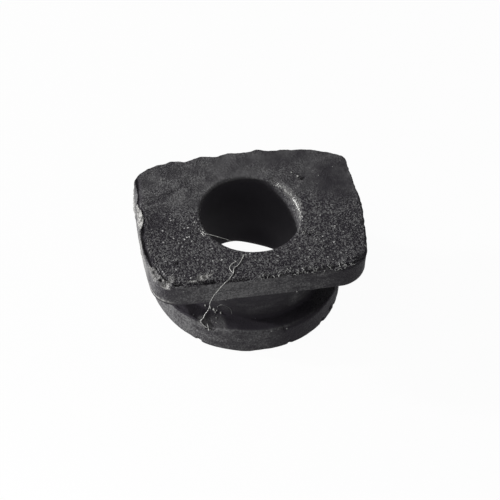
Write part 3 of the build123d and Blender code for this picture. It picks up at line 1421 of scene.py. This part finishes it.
class Effects:
    """The node groups that the finishes share."""

    pebbles_per_metre: float = 3700.0
    patches_per_metre: float = 420.0
    specks_per_metre: float = 2100.0

    def __init__(self) -> None:
        """Builds the groups."""
        self.grain = self.build_grain()
        self.dust_and_painted_light = self.build_dust()

    def build_grain(self) -> bpy.types.NodeTree:
        """Builds the fine pebbles of a dull moulded skin.

        Returns:
            The group, which gives Height for relief and Mottle for colour.
        """
        inputs = {"Pebbles per metre": self.pebbles_per_metre, "Depth": 1.0}
        tree, nodes, source, target = new_group("skin_grain", inputs, ("Height", "Mottle"))
        place, scale, depth = (source.outputs[number] for number in range(3))
        clouds = nodes.noise(place, scale, 3.0, 0.6)
        cells = nodes.put("TexVoronoi", feature="SMOOTH_F1")
        nodes.join(cells, {"Vector": place, "Scale": nodes.times(scale, 0.9), "Smoothness": 0.4})
        mounds = nodes.math("SUBTRACT", 1.0, cells.outputs["Distance"])
        both = nodes.math("ADD", nodes.times(clouds, 1.1), nodes.times(mounds, 0.45))
        nodes.feed(target.inputs["Height"], nodes.times(both, depth))
        nodes.feed(target.inputs["Mottle"], nodes.ramp(clouds, 0.42, 0.70))
        return tree

    def build_dust(self) -> bpy.types.NodeTree:
        """Builds the dust that settles on rubber; its amount also carries painted light and shade.

        Returns:
            The group, which gives Cover for the film and Specks for the pale grains in it.
        """
        inputs = {"Amount": 1.0, "Mottle": 0.5, "Contrast": 0.5}
        tree, nodes, source, target = new_group("dust_and_painted_light_cover", inputs, ("Cover", "Specks"))
        place, amount, mottle, contrast = (source.outputs[number] for number in range(4))
        level = nodes.put("VectorMath", operation="MULTIPLY")
        nodes.feed(level.inputs[0], place)
        level.inputs[1].default_value = (1.0, 1.0, 3.0)
        clouds = nodes.noise(level.outputs[0], self.patches_per_metre, 5.0, 0.6)
        patches = nodes.ramp(clouds, 0.3, 0.7, 0.5, 1.5)
        swing = nodes.times(contrast, 5.6)
        fine = nodes.times(nodes.math("SUBTRACT", mottle, 0.27), swing)
        uneven = nodes.times(patches, nodes.math("ADD", fine, 1.0))
        cover = nodes.times(uneven, amount)
        nodes.feed(target.inputs["Cover"], nodes.math("MINIMUM", nodes.math("MAXIMUM", cover, 0.0), 1.0))
        dots = nodes.put("TexVoronoi", feature="F1")
        nodes.join(dots, {"Vector": place, "Scale": self.specks_per_metre})
        near = nodes.ramp(dots.outputs["Distance"], 0.16, 0.38, 1.0, 0.0)
        rare = nodes.ramp(dots.outputs["Color"], 0.62, 0.76)
        crowded = nodes.ramp(nodes.noise(place, self.patches_per_metre, 2.0), 0.4, 0.62)
        dotted = nodes.times(nodes.times(near, rare), crowded)
        nodes.feed(target.inputs["Specks"], nodes.times(dotted, nodes.ramp(contrast, 0.2, 1.0)))
        return tree


def new_finish(name: str) -> tuple[bpy.types.Material, Nodes, bpy.types.Node, bpy.types.NodeSocket]:
    """Starts a material.

    Args:
        name: Its name.

    Returns:
        The material, a way to add nodes, its shader, and the place on the object.
    """
    finish = bpy.data.materials.new(name)
    finish.use_nodes = True
    nodes = Nodes(finish.node_tree)
    shader = finish.node_tree.nodes["Principled BSDF"]
    return finish, nodes, shader, nodes.put("TexCoord").outputs["Object"]


@dataclass(frozen=True)
class RubberFinish:
    """Black moulded rubber: bare in its hollows, dusty outside, pale and raw where torn; its dust and torn
    layers also paint light and shade.
    """

    bare: tuple[float, ...] = (0.0125, 0.0112, 0.0140, 1.0)
    # The dust's colour, which also paints the lit parts.
    dusty_and_lit: tuple[float, ...] = (0.1235, 0.1225, 0.1238, 1.0)
    # Raw rubber's colour, also the colour of the painted highlight on the head's lower rim.
    raw_and_highlight: tuple[float, ...] = (0.38, 0.375, 0.36, 1.0)
    pale: tuple[float, ...] = (0.55, 0.55, 0.54, 1.0)
    gloss: float = 0.14
    sheen: tuple[float, ...] = (0.93, 0.87, 1.0, 1.0)  # colour of its gloss
    relief: float = 0.00042  # metres
    tears_per_metre: float = 1900.0

    def build(self, effects: Effects) -> bpy.types.Material:
        """Makes the material; the mesh gives it three layers: dust with painted light and shade, grain, and
        torn rubber with a painted highlight.

        Args:
            effects: The shared node groups.

        Returns:
            The material.
        """
        finish, nodes, shader, place = new_finish("moulded_rubber")
        dust_and_painted_light, grain, torn_and_highlight = (nodes.layer(name) for name in ("dust_and_painted_light", "grain", "torn_and_highlight"))
        pebbles = nodes.put("Group", node_tree=effects.grain)
        nodes.join(pebbles, {"Place": place, "Depth": grain})
        film = nodes.put("Group", node_tree=effects.dust_and_painted_light)
        mottle = pebbles.outputs["Mottle"]
        nodes.join(film, {"Place": place, "Amount": dust_and_painted_light, "Mottle": mottle, "Contrast": grain})
        cover = film.outputs["Cover"]
        colour = nodes.blend(cover, self.bare, self.dusty_and_lit)
        ragged = nodes.noise(place, self.tears_per_metre, 4.0, 0.65)
        # Raw rubber, and the painted highlight along the head's lower rim.
        raw_and_highlight_share = nodes.times(torn_and_highlight, nodes.ramp(ragged, 0.38, 0.62, 0.2, 1.0))
        colour = nodes.blend(raw_and_highlight_share, colour, self.raw_and_highlight)
        nodes.join(shader, {
            "Base Color": nodes.blend(film.outputs["Specks"], colour, self.pale),
            "Roughness": nodes.ramp(cover, 0.0, 1.0, 0.7, 0.85),
            "Specular IOR Level": self.gloss,
            "Specular Tint": self.sheen,
            "Normal": nodes.relief(pebbles.outputs["Height"], self.relief),
        })
        return finish


@dataclass(frozen=True)
class DirtFinish:
    """Matt dirt or lint with uneven shade."""

    name: str
    dark: tuple[float, ...]
    light: tuple[float, ...]
    gloss: float = 0.25
    pebbles_per_metre: float = 4000.0
    relief: float = 0.00004  # metres

    def build(self, effects: Effects) -> bpy.types.Material:
        """Makes the material.

        Args:
            effects: The shared node groups.

        Returns:
            The material.
        """
        finish, nodes, shader, place = new_finish(self.name)
        pebbles = nodes.put("Group", node_tree=effects.grain)
        nodes.join(pebbles, {"Place": place, "Pebbles per metre": self.pebbles_per_metre})
        shade = pebbles.outputs["Mottle"]
        nodes.join(shader, {
            "Base Color": nodes.blend(shade, self.dark, self.light),
            "Roughness": nodes.ramp(shade, 0.0, 1.0, 0.7, 0.9),
            "Specular IOR Level": self.gloss,
            "Normal": nodes.relief(pebbles.outputs["Height"], self.relief),
        })
        return finish


SHREDDED_RUBBER = DirtFinish("shredded_rubber", (0.10, 0.10, 0.098, 1.0), (0.42, 0.42, 0.41, 1.0))
CHALKY_CRUST = DirtFinish("chalky_crust", (0.46, 0.46, 0.45, 1.0), (0.92, 0.92, 0.89, 1.0))
PALE_GRIT = DirtFinish("pale_grit", (0.16, 0.16, 0.155, 1.0), (0.42, 0.42, 0.40, 1.0))
PALE_LINT = DirtFinish("pale_lint", (0.42, 0.42, 0.40, 1.0), (0.8, 0.8, 0.78, 1.0))
# A darker copy of the lint, painted shade for the curl that lies in the neck's shadow.
SHADED_LINT = DirtFinish("shaded_lint", (0.08, 0.08, 0.08, 1.0), (0.2, 0.2, 0.195, 1.0))


# ---------------------------------------------------------------- the pieces


@dataclass
class Moulding:
    """The bushing itself: one closed mesh with its wear, in place of the plain CAD solid."""

    section: Section
    outline: HeadOutline = field(default_factory=HeadOutline)
    wear: Wear = field(default_factory=Wear)
    stations: int = 610

    def build(self, finish: bpy.types.Material) -> WornSurface:
        """Makes, dresses and mounts the moulding.

        Args:
            finish: Its material.

        Returns:
            The worn surface, for what lies on it.
        """
        outline = self.outline.stations(self.stations)
        points, zones = self.section.rings(outline, self.outline.pushed(outline, self.outline.scallops))
        surface = self.wear.apply(points, zones)
        faces = ring_faces(*points.shape[:2])
        piece = add_mesh("worn_bushing", surface.points.reshape(-1, 3), faces)
        # The dust and torn layers also carry painted light and shade.
        for name, values in (("dust_and_painted_light", surface.dust_and_painted_light), ("grain", surface.grain), ("torn_and_highlight", surface.torn_and_highlight)):
            add_layer(piece, name, values)
        add_piece(piece, finish)
        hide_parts(NODE)
        return surface


@dataclass(frozen=True)
class Strand:
    """One fibre of lint. It lies on the rubber, apart from where it hangs free."""

    radius: float
    places: tuple[tuple[float, float, float], ...]
    free: range = range(0)  # which of its places hang free

    def tube(self, resting: Resting, noise: FieldNoise, batch: TubeBatch) -> None:
        """Adds the fibre to a batch.

        Args:
            resting: Where the rubber is.
            noise: Makes it waver in place and thickness.
            batch: Takes the tube.
        """
        laid = [place if number in self.free else resting.laid(place, self.radius)
                for number, place in enumerate(self.places)]
        route = smooth_route(np.array(laid), 9)
        waver = np.stack([noise.at(route + shift, 1.3) for shift in (0.0, 31.0, 67.0)], axis=1)
        route = route + 0.05 * waver
        radii = self.radius * (1 + 0.45 * noise.layered(route, 0.9, 2))
        radii[[0, -1]] *= 0.5
        batch.add(route, radii)


LINT_FIBRES = (
    # Along the bore's mouth and across it
    Strand(0.042, ((-8.2, -2.9, 15.0), (-7.6, -3.2, 15.0), (-6.6, -3.55, 14.9), (-5.4, -3.9, 14.6),
                   (-4.5, -4.2, 14.35), (-3.75, -4.4, 14.0)), free=range(2, 6)),
    # From the bore over the front edge and down to the collar
    Strand(0.049, ((-2.7, -8.1, 15.0), (-3.3, -9.2, 15.0), (-4.0, -10.1, 15.0), (-4.8, -10.8, 15.0),
                   (-5.15, -11.7, 15.0), (-5.95, -12.7, 15.0), (-6.8, -13.35, 15.0), (-7.6, -13.5, 13.9),
                   (-8.25, -13.5, 12.8), (-8.8, -13.5, 11.1), (-8.8, -12.9, 8.9), (-9.15, -12.3, 7.1),
                   (-9.25, -11.8, 5.5), (-9.6, -11.45, 4.5), (-9.2, -11.8, 4.0), (-8.7, -12.2, 3.55)),
           free=range(10, 16)),
    # Beside it on the head's top face, and near its end on the collar
    Strand(0.045, ((-4.2, -9.3, 15.0), (-4.8, -9.8, 15.0), (-5.4, -10.4, 15.0), (-5.4, -11.1, 15.0),
                   (-5.2, -11.6, 15.0))),
    Strand(0.045, ((-8.6, -12.0, 4.3), (-8.55, -12.3, 3.7), (-8.5, -12.4, 3.2)), free=range(1)),
)

NECK_CURL = Strand(0.035, ((-6.77, -9.97, 5.67), (-6.27, -10.29, 6.36), (-5.56, -10.69, 6.38),
                           (-4.94, -10.99, 5.75), (-4.7, -11.1, 4.83)))


@dataclass(frozen=True)
class Lint:
    """Fibres caught on the bushing."""

    name: str
    strands: tuple[Strand, ...]
    seed: int = 71
    sides: int = 7

    def build(self, resting: Resting, finish: bpy.types.Material) -> None:
        """Makes all the fibres as one piece.

        Args:
            resting: Where the rubber is.
            finish: Their material.
        """
        noise = FieldNoise(self.seed)
        batch = TubeBatch(self.sides)
        for strand in self.strands:
            strand.tube(resting, noise, batch)
        add_piece(batch.build(self.name), finish)


@dataclass
class EdgeShreds:
    """Small curls of torn rubber that lie along the head's front edge."""

    count: int = 54
    seed: int = 5
    span: tuple[float, float] = (-1.5, 13.0)  # from left to right
    rows: tuple[float, float] = (-13.2, -12.1)  # from front to back
    length: tuple[float, float] = (0.35, 1.1)
    radius: tuple[float, float] = (0.045, 0.085)
    top: float = 15.0  # height of the head's top face
    rings: int = 7  # along each curl
    sides: int = 6

    def build(self, resting: Resting, finish: bpy.types.Material) -> None:
        """Makes the curls as one piece.

        Args:
            resting: Where the rubber is.
            finish: Their material.
        """
        draw = np.random.default_rng(self.seed)
        batch = TubeBatch(self.sides)
        for _ in range(self.count):
            x = draw.uniform(*self.span)
            y = draw.uniform(*self.rows)
            turn = draw.uniform(0, 2 * math.pi)
            bend = draw.uniform(0.5, 2.6) * draw.choice([-1, 1])
            length = draw.uniform(*self.length)
            radius = draw.uniform(*self.radius)
            share = np.linspace(0, 1, self.rings)
            turns = turn + bend * share
            steps = np.stack([np.cos(turns), np.sin(turns)], axis=1) * length / self.rings
            plan = np.array([x, y]) + np.cumsum(steps, axis=0)
            places = [resting.laid((px, py, self.top), radius * 0.7) for px, py in plan]
            batch.add(np.array(places), radius * (1 - 0.7 * np.abs(2 * share - 1) ** 2))
        add_piece(batch.build("edge_shreds"), finish)


@dataclass(frozen=True)
class CrustArc:
    """Grains of chalky crust along part of the bore's mouth."""

    count: int
    azimuth: tuple[float, float]  # degrees
    radius: tuple[float, float]
    height: tuple[float, float]
    size: tuple[float, float]


@dataclass
class MouthCrust:
    """Chalky crust round the bore's mouth, thickest on its right side."""

    seed: int = 43
    arcs: tuple[CrustArc, ...] = (
        CrustArc(60, (-6.0, 20.0), (7.55, 7.95), (14.0, 15.0), (0.05, 0.11)),
        CrustArc(28, (0.0, 17.0), (7.6, 7.85), (14.2, 14.8), (0.10, 0.18)),
        CrustArc(44, (18.0, 50.0), (7.7, 8.2), (14.4, 15.0), (0.04, 0.09)),
        CrustArc(12, (-14.0, -5.0), (7.6, 7.8), (14.3, 14.7), (0.04, 0.09)),
        CrustArc(16, (-34.0, -10.0), (7.8, 8.1), (14.6, 15.0), (0.03, 0.08)),
        CrustArc(16, (172.0, 202.0), (8.5, 9.1), (15.0, 15.0), (0.04, 0.09)),
        CrustArc(15, (192.0, 205.0), (8.2, 8.9), (15.0, 15.0), (0.05, 0.12)),
    )

    def build(self, resting: Resting, finish: bpy.types.Material) -> None:
        """Makes the crust as one piece.

        Args:
            resting: Where the rubber is.
            finish: Its material.
        """
        draw = np.random.default_rng(self.seed)
        grains = GrainBatch(draw)
        for arc in self.arcs:
            for _ in range(arc.count):
                radius, azimuth = draw.uniform(*arc.radius), draw.uniform(*arc.azimuth)
                place = on_circle(radius, azimuth, draw.uniform(*arc.height))
                grains.add(resting, place, draw.uniform(*arc.size))
        add_piece(grains.build("mouth_crust"), finish)


@dataclass(frozen=True)
class SpeckField:
    """Specks strewn over one part of the bushing."""

    count: int
    low: tuple[float, float, float]
    high: tuple[float, float, float]
    size: tuple[float, float]


@dataclass
class DustSpecks:
    """Pale grains of dirt stuck to the rubber."""

    seed: int = 19
    placed: tuple[tuple[tuple[float, float, float], float], ...] = (
        # Head
        ((-12.3, 9.0, 15.0), 0.17), ((8.2, 7.6, 15.0), 0.17), ((9.0, 6.6, 15.0), 0.22),
        ((7.2, -5.0, 15.0), 0.16), ((7.5, -5.3, 15.0), 0.12), ((12.3, -4.5, 15.0), 0.13),
        ((-6.4, -13.5, 11.1), 0.14), ((4.6, -13.5, 11.2), 0.14), ((-12.9, -13.4, 14.3), 0.12),
        ((-17.2, 3.3, 14.6), 0.15), ((-17.0, 1.5, 14.6), 0.15), ((-16.6, 1.3, 14.9), 0.12),
        ((-16.8, -3.7, 15.0), 0.12), ((-16.6, -5.5, 15.0), 0.12), ((-14.9, -7.0, 15.0), 0.15),
        # Along the neck's foot, and on the collar
        ((-8.3, -8.7, 4.85), 0.17), ((-7.6, -9.35, 4.9), 0.24), ((-7.1, -9.7, 4.9), 0.28),
        ((-6.75, -10.0, 4.85), 0.2), ((-6.15, -10.35, 4.6), 0.24), ((-6.9, -9.95, 4.5), 0.18),
        ((-6.95, -11.0, 4.4), 0.13),
        ((-7.25, -11.85, 4.3), 0.10), ((3.3, -14.65, 4.0), 0.16), ((0.9, -15.0, 4.2), 0.09),
    )
    fields: tuple[SpeckField, ...] = (
        SpeckField(46, (-15.0, -12.5, 15.0), (15.0, 0.0, 15.0), (0.025, 0.055)),
        SpeckField(14, (-15.0, 0.0, 15.0), (15.0, 11.0, 15.0), (0.03, 0.08)),
        SpeckField(36, (7.2, -3.0, 13.9), (7.9, 4.4, 14.8), (0.05, 0.13)),
        SpeckField(6, (-9.0, -3.8, 15.0), (-8.0, 1.4, 15.0), (0.04, 0.09)),
        SpeckField(12, (-16.7, -8.0, 15.0), (-16.1, -3.0, 15.0), (0.04, 0.10)),
        SpeckField(16, (6.9, -6.2, 15.0), (9.2, -4.4, 15.0), (0.05, 0.12)),
        SpeckField(14, (-12.0, -13.5, 4.4), (-6.5, -9.5, 4.4), (0.03, 0.08)),
        SpeckField(7, (-8.8, -13.3, 3.4), (-6.3, -10.8, 4.4), (0.04, 0.08)),
        SpeckField(7, (-12.0, -13.5, 11.5), (12.0, -13.4, 14.5), (0.03, 0.06)),
        SpeckField(7, (-15.0, -15.0, 0.5), (15.0, 15.0, 4.2), (0.03, 0.07)),
    )

    def build(self, resting: Resting, finish: bpy.types.Material) -> None:
        """Makes all the specks as one piece.

        Args:
            resting: Where the rubber is.
            finish: Their material.
        """
        draw = np.random.default_rng(self.seed)
        grains = GrainBatch(draw)
        for place, size in self.placed:
            grains.add(resting, place, size)
        for area in self.fields:
            for _ in range(area.count):
                place = draw.uniform(area.low, area.high)
                grains.add(resting, place, draw.uniform(*area.size))
        add_piece(grains.build("dust_specks"), finish)


# ---------------------------------------------------------------- studio


@dataclass(frozen=True)
class Lamp:
    """A soft rectangular lamp that looks at the bushing; its lengths are in metres."""

    name: str
    azimuth: float  # degrees, from +X towards +Y
    elevation: float  # degrees
    level: float  # how much of a full plain light it gives to a face turned to it
    width: float
    height: float
    distance: float = 0.7

    def build(self, target: Vector) -> None:
        """Hangs the lamp.

        Args:
            target: The point that it looks at, in metres.
        """
        data = bpy.data.lights.new(self.name, "AREA")
        data.shape = "RECTANGLE"
        data.size, data.size_y = self.width, self.height
        data.energy = self.level * (math.pi * self.distance) ** 2
        lamp = bpy.data.objects.new(self.name, data)
        bpy.context.scene.collection.objects.link(lamp)
        turn, rise = math.radians(self.azimuth), math.radians(self.elevation)
        towards = Vector((math.cos(rise) * math.cos(turn), math.cos(rise) * math.sin(turn), math.sin(rise)))
        lamp.location = target + towards * self.distance
        lamp.rotation_euler = towards.to_track_quat("Z", "Y").to_euler()
        lamp.visible_camera = False


@dataclass
class Studio:
    """Pale floor, soft lamps and a white surround."""

    lamps: tuple[Lamp, ...] = (
        Lamp("window", 158.0, 17.0, 1.5, 0.05, 0.05),
        Lamp("ceiling_left", 180.0, 60.0, 0.44, 0.35, 0.35),
        Lamp("card_front_left", 230.0, 9.0, 0.35, 0.05, 0.04, 0.075),
        Lamp("low_right", 330.0, 15.0, 0.03, 0.30, 0.12),
    )
    ambient: float = 0.044
    floor_half_width: float = 3.0  # metres
    floor_colour: tuple[float, ...] = (0.6, 0.6, 0.6, 1.0)
    floor_glow: float = 0.965

    def seen_directly(self, nodes: Nodes) -> bpy.types.NodeSocket:
        """Tells rays that look at a thing from light that falls on it.

        Args:
            nodes: The node tree that asks.

        Returns:
            1 for camera, glossy and transmission rays, 0 for the light that falls on things.
        """
        path = nodes.put("LightPath")
        total = nodes.math("ADD", path.outputs["Is Camera Ray"], path.outputs["Is Glossy Ray"])
        return nodes.math("MINIMUM", nodes.math("ADD", total, path.outputs["Is Transmission Ray"]), 1.0)

    def build_floor(self) -> None:
        """Lays the floor, near white to the eye but still with the bushing's shadow on it."""
        reach = self.floor_half_width / MM
        corners = np.array([(x * reach, y * reach, 0.0) for x, y in ((-1, -1), (1, -1), (1, 1), (-1, 1))])
        floor = add_mesh("studio_floor", corners, [(0, 1, 2, 3)])
        finish = bpy.data.materials.new("studio_floor")
        finish.use_nodes = True
        nodes = Nodes(finish.node_tree)
        shader = finish.node_tree.nodes["Principled BSDF"]
        nodes.join(shader, {"Base Color": self.floor_colour, "Roughness": 0.9, "Specular IOR Level": 0.0})
        glow = nodes.put("Emission")
        mix = nodes.put("MixShader")
        nodes.feed(mix.inputs[0], nodes.times(self.seen_directly(nodes), self.floor_glow))
        nodes.feed(mix.inputs[1], shader.outputs[0])
        nodes.feed(mix.inputs[2], glow.outputs[0])
        nodes.feed(finish.node_tree.nodes["Material Output"].inputs[0], mix.outputs[0])
        floor.data.materials.append(finish)

    def build_surround(self) -> None:
        """Sets the world: white where it is seen, and a little plain light from all sides."""
        world = bpy.data.worlds.new("studio")
        bpy.context.scene.world = world
        world.use_nodes = True
        nodes = Nodes(world.node_tree)
        background = world.node_tree.nodes["Background"]
        background.inputs["Color"].default_value = (1.0, 1.0, 1.0, 1.0)
        strength = nodes.ramp(self.seen_directly(nodes), 0.0, 1.0, self.ambient, 1.0)
        nodes.feed(background.inputs["Strength"], strength)

    def build(self) -> None:
        """Hangs the lamps, lays the floor and sets the surround."""
        middle = (Vector(CAD_BOX[0]) + Vector(CAD_BOX[1])) / 2
        for lamp in self.lamps:
            lamp.build(middle)
        self.build_floor()
        self.build_surround()
        bpy.context.scene.view_settings.view_transform = "Standard"


@dataclass(frozen=True)
class Viewpoint:
    """Where the camera stands and how it is held; its lengths are in metres, but for the lens."""

    yaw: float = -15.6  # degrees round from the front; less than 0 towards the left
    pitch: float = 47.77
    roll: float = 5.23
    distance: float = 0.3
    lens: float = 137.9  # millimetres
    aim: tuple[float, float, float] = (0.0, 0.0, 0.008)
    frame_right: float = 0.00034  # how far it looks to the right of its aim
    frame_down: float = 0.00095  # and below it

    def build(self) -> None:
        """Makes the camera and hands it to the scene."""
        yaw, pitch, roll = (math.radians(angle) for angle in (self.yaw, self.pitch, self.roll))
        back = Vector((math.sin(yaw) * math.cos(pitch), -math.cos(yaw) * math.cos(pitch), math.sin(pitch)))
        level = Vector((math.cos(yaw), math.sin(yaw), 0.0))
        rise = back.cross(level)
        right = math.cos(roll) * level + math.sin(roll) * rise
        up = back.cross(right)
        data = bpy.data.cameras.new("camera")
        data.lens = self.lens
        data.clip_start = self.distance / 20
        camera = bpy.data.objects.new("camera", data)
        bpy.context.scene.collection.objects.link(camera)
        place = Vector(self.aim) + back * self.distance
        target = Vector(self.aim) + right * self.frame_right - up * self.frame_down
        back = (place - target).normalized()
        right = (right - back * right.dot(back)).normalized()
        camera.matrix_world = Matrix((right, back.cross(right), back)).transposed().to_4x4()
        camera.matrix_world.translation = place
        bpy.context.scene.camera = camera


def measured_section() -> Section:
    """The moulding's section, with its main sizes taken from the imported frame.

    Returns:
        The section.
    """
    low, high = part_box(NODE)
    bore = next(mount for mount in frame["record"]["mounts"] if mount["name"] == "bore")
    return Section(bore=bore["dims"]["r_mm"], collar=(high[1] - low[1]) / 2 / MM, top=high[2] / MM)


def main() -> None:
    """Builds the bushing, what lies on it, and the studio."""
    logging.basicConfig(level=logging.INFO, format="%(name)s %(message)s")
    Studio().build()
    Viewpoint().build()
    effects = Effects()
    surface = Moulding(measured_section()).build(RubberFinish().build(effects))
    resting = Resting(surface)
    EdgeShreds().build(resting, SHREDDED_RUBBER.build(effects))
    MouthCrust().build(resting, CHALKY_CRUST.build(effects))
    DustSpecks().build(resting, PALE_GRIT.build(effects))
    Lint("lint_fibres", LINT_FIBRES).build(resting, PALE_LINT.build(effects))
    Lint("neck_curl", (NECK_CURL,)).build(resting, SHADED_LINT.build(effects))


if __name__ == "__main__":
    main()
